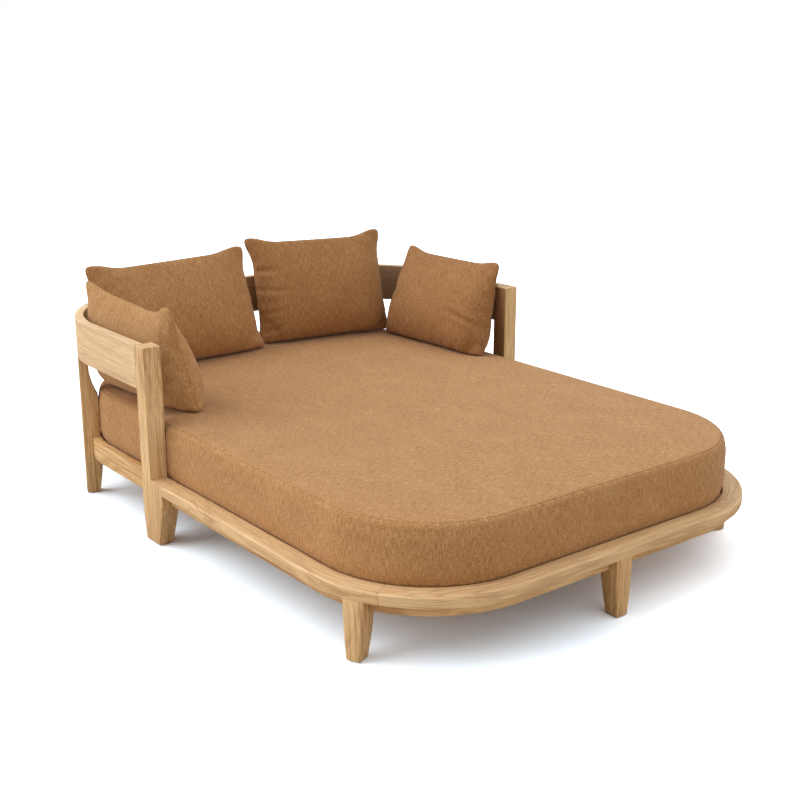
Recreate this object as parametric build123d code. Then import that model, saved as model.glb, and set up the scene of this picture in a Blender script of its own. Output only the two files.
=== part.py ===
from build123d import *
import os
from math import atan2, degrees, sqrt

# A double chaise lounger in solid timber: a rounded seat ring on eight legs, one bent
# band that is both arms and back, a slatted deck, a thick mattress and four pillows.
# Millimetres. +X is the right arm seen from the foot, +Y the head end, +Z up, and the
# origin lies on the floor under the middle.

# Overall sizes.
width = 1600.0
length = 2160.0
height = 655.0
foot_radius = 415.0
head_radius = 430.0

# Seat ring: a cap board that overhangs an apron board, both laid along the outline.
ring_top = 215.0
cap_height = 35.0
apron_height = 35.0
cap_overhang = 31.0
ring_thickness = 31.0
ledge = cap_overhang + ring_thickness
cap_bottom = ring_top - cap_height
apron_bottom = cap_bottom - apron_height
cap_edge_radius = 8.0
cap_joint_angle = 33.0

# Legs and posts, cut over the apron so that their outer faces lie flush with the cap.
leg_width = 62.0
leg_depth = 65.0
leg_floor_width = 41.0
leg_floor_depth = 46.0
leg_bow = 1.5
corner_leg_angle = 22.5
glide_height = 3.0
glide_diameter = 28.0
glide_pin_diameter = 4.0
glide_pin_length = 12.0

# Arm posts: square above the ring, with a foot that reaches forward below it. The arms
# run this far forward from the head end.
arm_run = 843.0
post_depth = 62.0
post_thickness = ledge
post_edge_radius = 3.0
arm_foot_reach = 70.0
arm_foot_front_draw = 31.0
arm_foot_rear_draw = 14.0
arm_foot_side_draw = 12.0
post_front = length / 2 - arm_run
post_back = post_front + post_depth
arm_foot_front = post_front - arm_foot_reach

# Head posts: slim under the band, swelling inward to the mattress.
head_post_top_depth = 34.0
head_post_depth = 60.0
swell_bottom = 362.0
swell_top = 475.0
swell_bow = 7.0

# Arm and back band.
band_height = 146.0
band_thickness = 32.0
band_edge_radius = 3.0
band_bottom = height - band_height

# Deck: cleats inside the ring, a spine, two cross rails and the slats.
cleat_width = 25.0
slat_height = 20.0
slat_width = 62.0
slat_count = 24
end_slat_count = 5
slat_end_gap = 3.0
slat_margin = 10.0
slat_bottom = cap_bottom
slat_top = slat_bottom + slat_height
beam_width = 45.0
beam_height = 50.0
beam_bottom = slat_bottom - beam_height
foot_rail_inset = 660.0
foot_rail_place = foot_rail_inset - length / 2
arm_rail_place = (arm_foot_front + post_back) / 2
cleat_split = (foot_rail_place + arm_rail_place) / 2

# Fasteners, plates and dowels.
hole_clearance = 0.1
bolt_diameter = 8.0
bolt_head_diameter = 13.0
bolt_head_height = 5.0
bolt_tip_cover = 12.0
bolt_spacing = 32.0
dowel_diameter = 12.0
dowel_length = 60.0
dowel_spacing = 30.0
screw_diameter = 4.5
screw_head_diameter = 9.0
screw_head_height = 2.5
slat_screw_length = 30.0
cap_screw_length = 55.0
bracket_leg = 40.0
bracket_height = 28.0
bracket_sheet = 3.0
bracket_screw_length = 20.0
bracket_screw_place = 26.0
cap_screw_side_shares = (-0.95, -0.57, -0.19, 0.19, 0.57, 0.95)
cap_screw_end_shares = (0.25, 0.75)
cap_screw_corner_angles = (43.0, 68.0)
dowel_level_shares = (0.3, 0.7)

# Mattress and pillows.
rest_gap = 0.3
band_gap = 4.5
mattress_gap = 3.0
mattress_height = 192.0
mattress_crown = 8.0
mattress_edge_radius = 24.0
mattress_foot_radius = 10.0
crown_first_run = 90.0
crown_second_run = 210.0
crown_first_share = 0.62
seam_thickness = 5.0
pillow_corner_radius = 14.0
pillow_draw = 16.0
pillow_sink = 28.0
pillow_round_share = 0.7
pillow_bulge_share = 0.16
pillow_crown_share = 0.92
pillow_swell_power = 1 / 2.6
pillow_swell_shares = (0.0, 0.3, 0.56, 0.76, 0.9, 0.97, 1.0)
back_pillow_width = 640.0
back_pillow_height = 448.0
back_pillow_thickness = 178.0
arm_pillow_width = 542.0
arm_pillow_height = 385.0
arm_pillow_thickness = 168.0

# Where the pillows stand: how far their lower seams lie inside the outline, where the
# two back ones meet, how far the arm ones reach forward past the back of the arm posts,
# and the turn about Z and the lean of each.
back_meeting = 20.0
back_seam_gap = 1.5
left_back_inset = 208.0
right_back_inset = 188.0
left_arm_inset = 178.0
right_arm_inset = 118.0
left_arm_forward = 3.0
right_arm_forward = 30.0
left_back_turn = 3.0
right_back_turn = -8.5
left_arm_turn = 94.0
right_arm_turn = -87.5
left_back_lean = 15.0
right_back_lean = 10.3
left_arm_lean = 9.0
right_arm_lean = 7.8

# How far a cutting block runs past what it cuts.
overrun = 20.0

mattress_inset = ledge + mattress_gap
mattress_bottom = slat_top + rest_gap
mattress_shoulder = mattress_bottom + mattress_height
mattress_top = mattress_shoulder + mattress_crown

back_pillow = (back_pillow_width, back_pillow_height, back_pillow_thickness)
arm_pillow = (arm_pillow_width, arm_pillow_height, arm_pillow_thickness)
back_reach = back_pillow_width / 2 + back_seam_gap
arm_reach = post_back + arm_pillow_width / 2
left_back_place = (back_meeting - back_reach, length / 2 - left_back_inset)
right_back_place = (back_meeting + back_reach, length / 2 - right_back_inset)
left_arm_place = (left_arm_inset - width / 2, arm_reach - left_arm_forward)
right_arm_place = (width / 2 - right_arm_inset, arm_reach - right_arm_forward)


def plan(inset):
    sharp = Rectangle(width - 2 * inset, length - 2 * inset)
    foot_corners = sharp.vertices().group_by(Axis.Y)[0]
    foot_rounded = fillet(foot_corners, foot_radius - inset)
    head_corners = foot_rounded.vertices().group_by(Axis.Y)[-1]
    return fillet(head_corners, head_radius - inset)


def slab(inset, bottom, top):
    return Pos(0, 0, bottom) * extrude(plan(inset), top - bottom)


def loop(outer, inner, bottom, top):
    return slab(outer, bottom, top) - slab(inner, bottom - overrun, top + overrun)


def block(x_range, y_range, z_range):
    sizes = [high - low for low, high in (x_range, y_range, z_range)]
    middles = [(high + low) / 2 for low, high in (x_range, y_range, z_range)]
    return Pos(*middles) * Box(*sizes)


def half_chord(inset, y):
    # Half of the width inside the outline at this distance along the lounger.
    radius = foot_radius if y < 0 else head_radius
    past = abs(y) - (length / 2 - radius)
    straight = width / 2 - radius
    if past <= 0:
        return width / 2 - inset
    return straight + sqrt((radius - inset) ** 2 - past**2)


def seat(kind):
    # Place on the outline, with local +X pointing outward.
    foot_centre = Pos(-(width / 2 - foot_radius), -(length / 2 - foot_radius))
    head_centre = Pos(-(width / 2 - head_radius), length / 2 - head_radius)
    places = {
        "foot_corner": foot_centre * Rot(0, 0, 180 + corner_leg_angle) * Pos(foot_radius),
        "head_corner": head_centre * Rot(0, 0, 180 - corner_leg_angle) * Pos(head_radius),
        "foot_centre": Pos(0, -length / 2) * Rot(0, 0, -90),
        "head_centre": Pos(0, length / 2) * Rot(0, 0, 90),
        "arm": Pos(-width / 2, arm_rail_place) * Rot(0, 0, 180),
    }
    return places[kind]


def bowed_side(start, end, bow):
    # An almost straight edge that swells sideways in its middle.
    middle = ((start[0] + end[0]) / 2 + bow, (start[1] + end[1]) / 2)
    return ThreePointArc(start, middle, end)


def taper_profile(top, outer_top, inner_top, outer_floor, inner_floor):
    # Side view of a leg, from the outer edge to the inner edge, tapering below the apron.
    knee = apron_bottom
    floor = glide_height
    edges = [
        bowed_side((outer_floor, floor), (outer_top, knee), leg_bow),
        Line((outer_top, knee), (outer_top, top)),
        Line((outer_top, top), (inner_top, top)),
        Line((inner_top, top), (inner_top, knee)),
        bowed_side((inner_top, knee), (inner_floor, floor), -leg_bow),
        Line((inner_floor, floor), (outer_floor, floor)),
    ]
    return make_face(edges)


def leg_across(top):
    half = leg_width / 2
    half_floor = leg_floor_width / 2
    face = taper_profile(top, half, -half, half_floor, -half_floor)
    reach = leg_depth + overrun
    return extrude(Plane.YZ * face, reach, both=True)


def leg_through(face):
    return extrude(Plane.XZ * face, leg_width, both=True)


def short_leg_outline():
    # Side view with a straight outer edge, which the plan outline trims flush with the cap.
    return [
        Line((overrun, glide_height), (overrun, cap_bottom)),
        Line((overrun, cap_bottom), (-leg_depth, cap_bottom)),
        Line((-leg_depth, cap_bottom), (-leg_depth, apron_bottom)),
        bowed_side((-leg_depth, apron_bottom), (-leg_floor_depth, glide_height), -leg_bow),
        Line((-leg_floor_depth, glide_height), (overrun, glide_height)),
    ]


def short_leg(kind):
    body = leg_through(make_face(short_leg_outline())) & leg_across(cap_bottom)
    placed = seat(kind) * body
    trimmed = placed & slab(0, 0, cap_bottom)
    return trimmed - slab(cap_overhang, apron_bottom, cap_bottom + overrun)


def head_post(kind):
    edges = [
        Line((overrun, glide_height), (overrun, band_bottom)),
        Line((overrun, band_bottom), (-head_post_top_depth, band_bottom)),
        Line((-head_post_top_depth, band_bottom), (-head_post_top_depth, swell_top)),
        bowed_side(
            (-head_post_top_depth, swell_top), (-head_post_depth, swell_bottom), swell_bow
        ),
        Line((-head_post_depth, swell_bottom), (-head_post_depth, ring_top)),
        Line((-head_post_depth, ring_top), (-leg_depth, ring_top)),
        Line((-leg_depth, ring_top), (-leg_depth, apron_bottom)),
        bowed_side((-leg_depth, apron_bottom), (-leg_floor_depth, glide_height), -leg_bow),
        Line((-leg_floor_depth, glide_height), (overrun, glide_height)),
    ]
    body = leg_through(make_face(edges)) & leg_across(band_bottom)
    placed = seat(kind) * body
    trimmed = placed & slab(0, 0, band_bottom)
    return trimmed - slab(cap_overhang, apron_bottom, ring_top)


def arm_post():
    # The outer face stays upright; front, rear and inner faces draw in towards the floor.
    outer = -width / 2
    inner = outer + post_thickness
    front_floor = arm_foot_front + arm_foot_front_draw
    back_floor = post_back - arm_foot_rear_draw
    side_face = taper_profile(
        ring_top, post_back, arm_foot_front, back_floor, front_floor
    )
    foot = Pos(inner + overrun) * extrude(Plane.YZ * side_face, -(post_thickness + overrun))
    inner_floor = inner - arm_foot_side_draw
    end_face = taper_profile(ring_top, inner, outer - overrun, inner_floor, outer - overrun)
    end = extrude(Plane.XZ * end_face, length, both=True)
    foot = foot & end & slab(0, 0, ring_top)
    upright = block((outer, inner), (post_front, post_back), (ring_top, height))
    upright = fillet(upright.faces().sort_by(Axis.Z)[-1].edges(), post_edge_radius)
    post = foot + upright
    notch = loop(cap_overhang, ledge + overrun, apron_bottom, cap_bottom)
    return post - notch


def foot_cap_ring():
    board = slab(0, cap_bottom, ring_top)
    rim = board.faces().sort_by(Axis.Z)[-1].outer_wire().edges()
    board = fillet(rim, cap_edge_radius)
    ring = board - slab(ledge, cap_bottom - overrun, ring_top + overrun)
    front = block(
        (-width, width), (-length, arm_foot_front), (cap_bottom - overrun, ring_top + overrun)
    )
    return ring & front


def side_cap(ring):
    # From the arm post forward to the scarf just past the corner leg.
    centre = Pos(-(width / 2 - foot_radius), -(length / 2 - foot_radius))
    above = Pos(0, length) * Box(4 * width, 2 * length, height)
    turned = centre * Rot(0, 0, cap_joint_angle) * above
    left = block((-width, 0), (-length, length), (0, height))
    return ring & turned & left


def head_cap():
    ring = loop(cap_overhang, ledge, cap_bottom, ring_top)
    return ring & block((-width, 0), (post_back, length), (0, height))


def apron(low, high):
    ring = loop(cap_overhang, ledge, apron_bottom, cap_bottom)
    return ring & block((-width, 0), (low, high), (0, height))


def cleat(low, high):
    ring = loop(ledge, ledge + cleat_width, apron_bottom, cap_bottom)
    return ring & block((-width, 0), (low, high), (0, height))


def band_ring():
    board = slab(0, band_bottom, height)
    board = fillet(board.faces().sort_by(Axis.Z)[-1].outer_wire().edges(), band_edge_radius)
    ring = board - slab(band_thickness, band_bottom - overrun, height + overrun)
    return ring & block((-width, width), (post_back, length), (0, height))


def band_pieces():
    ring = band_ring()
    tangent = width / 2 - head_radius
    tall = (0, height)
    arm = ring & block((-width, -tangent), (0, length), tall)
    back = ring & block((-tangent, tangent), (0, length), tall)
    return arm, back


def screw(diameter, head_diameter, head_height, under_head):
    # Points down: the head's underside lies on the plane z = 0.
    head = Pos(0, 0, head_height / 2) * Cylinder(head_diameter / 2, head_height)
    shank = Pos(0, 0, -under_head / 2) * Cylinder(diameter / 2, under_head)
    return head + shank


def screw_hole(diameter, head_diameter, head_height, under_head):
    grown = 2 * hole_clearance
    head = Cylinder((head_diameter + grown) / 2, head_height + overrun)
    shank = Cylinder((diameter + grown) / 2, under_head + hole_clearance)
    head = Pos(0, 0, (head_height + overrun) / 2) * head
    return head + Pos(0, 0, -(under_head + hole_clearance) / 2) * shank


bolt_sizes = (
    bolt_diameter,
    bolt_head_diameter,
    bolt_head_height,
    ledge + cleat_width - bolt_head_height - bolt_tip_cover,
)
slat_screw_sizes = (
    screw_diameter,
    screw_head_diameter,
    screw_head_height,
    slat_screw_length,
)
cap_screw_sizes = (
    screw_diameter,
    screw_head_diameter,
    screw_head_height,
    cap_screw_length,
)
bracket_screw_sizes = (
    screw_diameter,
    screw_head_diameter,
    screw_head_height,
    bracket_screw_length,
)


def bolt_places():
    # Two bolts a leg, pushed outward through cleat and apron into the leg's cheek.
    middle = (apron_bottom + cap_bottom) / 2
    depth = ledge + cleat_width - bolt_head_height
    places = []
    for kind in ("foot_corner", "head_corner", "foot_centre", "head_centre", "arm"):
        for side in (-1, 1):
            shift = Pos(-depth, side * bolt_spacing / 2, middle)
            places.append(seat(kind) * shift * Rot(0, -90, 0))
    return places


def cap_screw_places():
    # Up from under the apron into the cap or the rear ring board.
    seat_height = apron_bottom + screw_head_height
    line = cap_overhang + ring_thickness / 2
    straight_foot = length / 2 - foot_radius
    places = []
    for share in cap_screw_side_shares:
        places.append(Pos(-width / 2 + line, share * straight_foot, seat_height))
    for share in cap_screw_end_shares:
        across = share * (width / 2 - foot_radius)
        places.append(Pos(-across, -length / 2 + line, seat_height))
        places.append(Pos(-across, length / 2 - line, seat_height))
    for angle in cap_screw_corner_angles:
        reach = foot_radius - line
        foot_centre = Pos(-(width / 2 - foot_radius), -(length / 2 - foot_radius))
        places.append(foot_centre * Rot(0, 0, 180 + angle) * Pos(reach, 0, seat_height))
        reach = head_radius - line
        head_centre = Pos(-(width / 2 - head_radius), length / 2 - head_radius)
        places.append(head_centre * Rot(0, 0, 180 - angle) * Pos(reach, 0, seat_height))
    return [place * Rot(180, 0, 0) for place in places]


def glide_places():
    places = []
    for kind in ("foot_corner", "head_corner", "foot_centre", "head_centre"):
        places.append(seat(kind) * Pos(-leg_floor_depth / 2))
    inner = post_thickness - arm_foot_side_draw
    lean = (arm_foot_front_draw - arm_foot_rear_draw) / 2
    places.append(Pos(-width / 2 + inner / 2, arm_rail_place + lean))
    return places


def glide():
    foot = Pos(0, 0, glide_height / 2) * Cylinder(glide_diameter / 2, glide_height)
    pin_middle = glide_height + glide_pin_length / 2
    pin = Pos(0, 0, pin_middle) * Cylinder(glide_pin_diameter / 2, glide_pin_length)
    return foot + pin


def glide_hole():
    radius = glide_pin_diameter / 2 + hole_clearance
    depth = glide_height + glide_pin_length + hole_clearance
    return Pos(0, 0, depth / 2) * Cylinder(radius, depth)


def dowel_places():
    places = []
    for kind in ("head_corner", "head_centre"):
        for side in (-1, 1):
            shift = Pos(-band_thickness / 2, side * dowel_spacing / 2, band_bottom)
            places.append(seat(kind) * shift)
    for share in dowel_level_shares:
        level = band_bottom + share * band_height
        middle = Pos(-width / 2 + band_thickness / 2, post_back, level)
        places.append(middle * Rot(90, 0, 0))
    return places


def left_half(places):
    # The places of the left half and of the middle; mirror images complete them.
    return [place for place in places if place.position.X < hole_clearance]


def with_mirror_images(shapes):
    # Each shape, and its mirror image unless it already lies across X = 0.
    found = []
    for shape in shapes:
        found.append(shape)
        if abs(shape.center().X) > hole_clearance:
            found.append(mirror(shape, about=Plane.YZ))
    return found


def copies_at(places, shape):
    return [place * shape for place in places]


def on_both_sides(shape, places):
    return Compound(children=with_mirror_images(copies_at(places, shape)))


def cross_rail(place):
    reach = width / 2 - ledge - cleat_width
    half = beam_width / 2
    rail = block((-reach, reach), (place - half, place + half), (beam_bottom, slat_bottom))
    lap = block(
        (-half, half),
        (place - half - overrun, place + half + overrun),
        (beam_bottom + beam_height / 2, slat_bottom + overrun),
    )
    return rail - lap


def centre_beam():
    reach = length / 2 - ledge - cleat_width
    half = beam_width / 2
    beam = block((-half, half), (-reach, reach), (beam_bottom, slat_bottom))
    for place in (foot_rail_place, arm_rail_place):
        lap = block(
            (-half - overrun, half + overrun),
            (place - half, place + half),
            (beam_bottom - overrun, beam_bottom + beam_height / 2),
        )
        beam = beam - lap
    return beam


def bracket_places():
    # Corner of each plate: the meeting line of a rail's side and the cleat's inner face.
    half = beam_width / 2
    low = (apron_bottom + cap_bottom - bracket_height) / 2
    side = width / 2 - ledge - cleat_width
    end = length / 2 - ledge - cleat_width
    places = []
    for rail in (foot_rail_place, arm_rail_place):
        places.append(Pos(-side, rail + half, low))
        places.append(Pos(-side, rail - half, low) * Rot(0, 0, -90))
    places.append(Pos(-half, -end, low) * Rot(0, 0, 90))
    places.append(Pos(-half, end, low) * Rot(0, 0, 180))
    return places


def bracket():
    flat = block((0, bracket_leg), (0, bracket_sheet), (0, bracket_height))
    upright = block((0, bracket_sheet), (0, bracket_leg), (0, bracket_height))
    plate = flat + upright
    for place in bracket_screw_turns():
        plate = plate - place * screw_hole(*bracket_screw_sizes)
    return plate


def bracket_screw_turns():
    middle = bracket_height / 2
    along = Pos(bracket_screw_place, bracket_sheet, middle) * Rot(-90, 0, 0)
    across = Pos(bracket_sheet, bracket_screw_place, middle) * Rot(0, 90, 0)
    return [along, across]


def slat_centres():
    reach = length / 2 - ledge - slat_margin - slat_width / 2
    pitch = 2 * reach / (slat_count - 1)
    return [-reach + pitch * number for number in range(slat_count)]


def slat(y):
    # Cut to the curve of the ring at both ends.
    strip = block(
        (-width / 2, width / 2),
        (y - slat_width / 2, y + slat_width / 2),
        (slat_bottom, slat_top),
    )
    board = strip & slab(ledge + slat_end_gap, slat_bottom, slat_top)
    for place in slat_screw_places(y):
        board = board - place * screw_hole(*slat_screw_sizes)
    return board


def slat_screw_places(y):
    seat_height = slat_top - screw_head_height
    side = half_chord(ledge + cleat_width / 2, y)
    return [Pos(x, y, seat_height) for x in (-side, 0, side)]


def mattress():
    body = slab(mattress_inset, mattress_bottom, mattress_shoulder)
    body = fillet(body.faces().sort_by(Axis.Z)[-1].outer_wire().edges(), mattress_edge_radius)
    body = fillet(body.faces().sort_by(Axis.Z)[0].outer_wire().edges(), mattress_foot_radius)
    first_inset = mattress_inset + mattress_edge_radius
    first_level = mattress_shoulder + crown_first_share * mattress_crown
    steps = [
        (first_inset, mattress_shoulder),
        (first_inset + crown_first_run, first_level),
        (first_inset + crown_second_run, mattress_top),
    ]
    crown = loft([Pos(0, 0, level) * plan(inset) for inset, level in steps])
    return body + crown


def pillow_contour(half_width, half_height, share):
    # Four slightly curved sides joined by round corners. At the seam the sides are drawn
    # in between the corners; towards the crown the corners widen and the sides swell out.
    x = half_width
    y = half_height
    corner = pillow_corner_radius * (1 - share) + pillow_round_share * share * y
    set_back = corner * (1 - sqrt(0.5))
    drawn_in = pillow_draw * (1 - share) ** 2
    draw_along = drawn_in - pillow_bulge_share * share * (x - corner)
    draw_up = drawn_in - pillow_bulge_share * share * (y - corner)
    corners = []
    for sx, sy in ((1, 1), (-1, 1), (-1, -1), (1, -1)):
        on_side = (sx * x, sy * (y - corner))
        on_top = (sx * (x - corner), sy * y)
        tip = (sx * (x - set_back), sy * (y - set_back))
        corners.append((on_side, tip, on_top) if sx == sy else (on_top, tip, on_side))
    middles = [(0, y - draw_along), (draw_up - x, 0), (0, draw_along - y), (x - draw_up, 0)]
    edges = []
    for number, (start, tip, end) in enumerate(corners):
        following = corners[(number + 1) % len(corners)]
        edges.append(ThreePointArc(start, tip, end))
        edges.append(ThreePointArc(end, middles[number], following[0]))
    return make_face(edges)


def pillow(across, up, thickness):
    # Local X along the width, Z up from the lower seam, -Y the front.
    half_width = across / 2
    half_height = up / 2
    half_seam = seam_thickness / 2
    rise = thickness / 2 - half_seam
    sections = []
    for share in pillow_swell_shares:
        # The swell rises steeply from the seam and levels off at the crown.
        inward = half_height * pillow_crown_share * (1 - (1 - share) ** pillow_swell_power)
        face = pillow_contour(half_width - inward, half_height - inward, share)
        sections.append(Pos(0, 0, half_seam + share * rise) * face)
    half = loft(sections)
    edge = pillow_contour(half_width, half_height, 0)
    seam = Pos(0, 0, -half_seam) * extrude(edge, seam_thickness)
    whole = seam + half + mirror(half, about=Plane.XY)
    return Pos(0, 0, half_height) * Rot(90, 0, 0) * whole


def placed_pillow(sizes, place, turn, lean):
    level = mattress_top - pillow_sink
    return Pos(*place, level) * Rot(0, 0, turn) * Rot(-lean, 0, 0) * pillow(*sizes)


def past_arm_post():
    # What lies outside an upright plane from the arm post's inner corner back to the band.
    inside_post = width / 2 - post_thickness - band_gap
    angle = degrees(atan2(post_thickness - band_thickness, arm_pillow_width))
    outer = block((0, width), (-length, length), (0, 2 * height))
    right = Pos(inside_post, post_back) * Rot(0, 0, -angle) * outer
    return right + mirror(right, about=Plane.YZ)


def settled(form, bed):
    # Pressed flat where it rests on the mattress, the band or an arm post.
    under_crown = block((-width, width), (-length, length), (0, mattress_bottom))
    form = form - Pos(0, 0, rest_gap) * bed - under_crown - past_arm_post()
    return form & slab(band_thickness + band_gap, 0, 2 * height)


def pillows(bed):
    # The two back pillows press on each other at one upright plane.
    tall = (0, 2 * height)
    long = (-length, length)
    half_gap = rest_gap / 2
    beyond_right = block((back_meeting - half_gap, width), long, tall)
    beyond_left = block((-width, back_meeting + half_gap), long, tall)
    left_back = placed_pillow(back_pillow, left_back_place, left_back_turn, left_back_lean)
    right_back = placed_pillow(back_pillow, right_back_place, right_back_turn, right_back_lean)
    left_arm = placed_pillow(arm_pillow, left_arm_place, left_arm_turn, left_arm_lean)
    right_arm = placed_pillow(arm_pillow, right_arm_place, right_arm_turn, right_arm_lean)
    return {
        "left_back_pillow": settled(left_back, bed) - beyond_right,
        "right_back_pillow": settled(right_back, bed) - beyond_left,
        "left_arm_pillow": settled(left_arm, bed),
        "right_arm_pillow": settled(right_arm, bed),
    }


def export(name, shape):
    export_step(shape, os.path.join("parts", name + ".step"))


def drilled(shape, holes):
    for hole in holes:
        shape = shape - hole
    return shape


os.makedirs("parts", exist_ok=True)

bolts = left_half(bolt_places())
cap_screws = left_half(cap_screw_places())
glides = left_half(glide_places())
dowels = left_half(dowel_places())
brackets = left_half(bracket_places())
bracket_screws = [place * turn for place in brackets for turn in bracket_screw_turns()]
slat_screws = left_half([place for y in slat_centres() for place in slat_screw_places(y)])


def near(holes, shape):
    # Only the holes whose boxes touch the shape's box.
    box = shape.bounding_box()
    found = []
    for hole in holes:
        other = hole.bounding_box()
        apart = (
            other.min.X > box.max.X or other.max.X < box.min.X
            or other.min.Y > box.max.Y or other.max.Y < box.min.Y
            or other.min.Z > box.max.Z or other.max.Z < box.min.Z
        )
        if not apart:
            found.append(hole)
    return found


dowel_hole = Cylinder(
    dowel_diameter / 2 + hole_clearance, dowel_length + 2 * hole_clearance
)
left_holes = (
    copies_at(bolts, screw_hole(*bolt_sizes))
    + copies_at(cap_screws, screw_hole(*cap_screw_sizes))
    + copies_at(glides, glide_hole())
    + copies_at(dowels, dowel_hole)
    + copies_at(bracket_screws, screw_hole(*bracket_screw_sizes))
    + copies_at(slat_screws, screw_hole(*slat_screw_sizes))
)
all_holes = with_mirror_images(left_holes)


def export_pair(name, left_shape):
    finished = drilled(left_shape, near(all_holes, left_shape))
    export("left_" + name, finished)
    export("right_" + name, mirror(finished, about=Plane.YZ))


def export_middle(name, shape):
    export(name, drilled(shape, near(all_holes, shape)))


cap = foot_cap_ring()
left_cap = side_cap(cap)
export_pair("side_cap", left_cap)
export_middle("foot_cap", cap - left_cap - mirror(left_cap, about=Plane.YZ))
export_pair("head_cap", head_cap())
export_pair("foot_apron", apron(-length, arm_rail_place))
export_pair("head_apron", apron(arm_rail_place, length))
export_pair("foot_cleat", cleat(-length, cleat_split))
export_pair("head_cleat", cleat(cleat_split, length))
print("ring done")

export_pair("foot_leg", short_leg("foot_corner"))
export_middle("foot_centre_leg", short_leg("foot_centre"))
export_pair("arm_post", arm_post())
export_pair("head_post", head_post("head_corner"))
export_middle("head_centre_post", head_post("head_centre"))
print("legs done")

arm_band, back_band = band_pieces()
export_pair("arm_band", arm_band)
export_middle("back_band", back_band)
export_middle("centre_beam", centre_beam())
export_middle("foot_cross_rail", cross_rail(foot_rail_place))
export_middle("arm_cross_rail", cross_rail(arm_rail_place))
print("band and rails done")

centres = slat_centres()
long_slats = [slat(y) for y in centres[end_slat_count:-end_slat_count]]
export("long_slats", Compound(children=long_slats))
for number in range(end_slat_count):
    export("foot_slat_%d" % (number + 1), slat(centres[number]))
    export("head_slat_%d" % (number + 1), slat(centres[-1 - number]))
print("slats done")

export("leg_bolts", on_both_sides(screw(*bolt_sizes), bolts))
export("cap_screws", on_both_sides(screw(*cap_screw_sizes), cap_screws))
export("slat_screws", on_both_sides(screw(*slat_screw_sizes), slat_screws))
export("angle_brackets", on_both_sides(bracket(), brackets))
export("bracket_screws", on_both_sides(screw(*bracket_screw_sizes), bracket_screws))
export("leg_glides", on_both_sides(glide(), glides))
export("band_dowels", on_both_sides(Cylinder(dowel_diameter / 2, dowel_length), dowels))
print("fittings done")

bed = mattress()
export("mattress", bed)
for name, form in pillows(bed).items():
    export(name, form)
print("cushions done")
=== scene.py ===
import math

import bmesh
import bpy
import numpy as np
from mathutils import Matrix, Vector


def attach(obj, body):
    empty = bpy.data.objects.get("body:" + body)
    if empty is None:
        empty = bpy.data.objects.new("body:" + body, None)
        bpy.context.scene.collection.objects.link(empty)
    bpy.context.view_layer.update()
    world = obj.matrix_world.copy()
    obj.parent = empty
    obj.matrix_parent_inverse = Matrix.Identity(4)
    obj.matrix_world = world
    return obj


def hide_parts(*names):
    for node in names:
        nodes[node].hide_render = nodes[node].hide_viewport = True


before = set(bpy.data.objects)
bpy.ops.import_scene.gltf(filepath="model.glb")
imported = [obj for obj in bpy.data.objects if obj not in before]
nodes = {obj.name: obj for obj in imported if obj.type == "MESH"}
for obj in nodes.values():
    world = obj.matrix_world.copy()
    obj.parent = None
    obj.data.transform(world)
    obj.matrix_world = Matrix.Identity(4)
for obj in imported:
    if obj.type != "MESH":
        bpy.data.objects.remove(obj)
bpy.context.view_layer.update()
scene = bpy.context.scene
print("frame loaded:", len(nodes), "nodes")

# The plan that the ring, the band and the mattress all follow, in metres.
outline = {
    "halfWidth": 0.8,
    "halfLength": 1.08,
    "footRadius": 0.415,
    "headRadius": 0.430,
}


def addObject(name, data):
    made = bpy.data.objects.new(name, data)
    scene.collection.objects.link(made)
    return made


def findSocket(sockets, key):
    if isinstance(key, int):
        return sockets[key]
    for socket in sockets:
        if socket.identifier == key:
            return socket
    return sockets[key]


def addNode(tree, kind, settings, values):
    # A new node with its own settings, and each input set to a value or linked to a socket.
    made = tree.nodes.new(kind)
    for key, value in settings.items():
        setattr(made, key, value)
    for key, value in values.items():
        socket = findSocket(made.inputs, key)
        if isinstance(value, bpy.types.NodeSocket):
            tree.links.new(value, socket)
        else:
            socket.default_value = value
    return made


# Small helpers for shader nodes: wires that can be added, subtracted and multiplied.
class Wire:
    def __init__(self, paint, socket):
        self.paint = paint
        self.socket = socket

    def __add__(self, other):
        return self.paint.math("ADD", self, other)

    def __sub__(self, other):
        return self.paint.math("SUBTRACT", self, other)

    def __rsub__(self, other):
        return self.paint.math("SUBTRACT", other, self)

    def __mul__(self, other):
        return self.paint.math("MULTIPLY", self, other)

    __radd__ = __add__
    __rmul__ = __mul__


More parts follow.
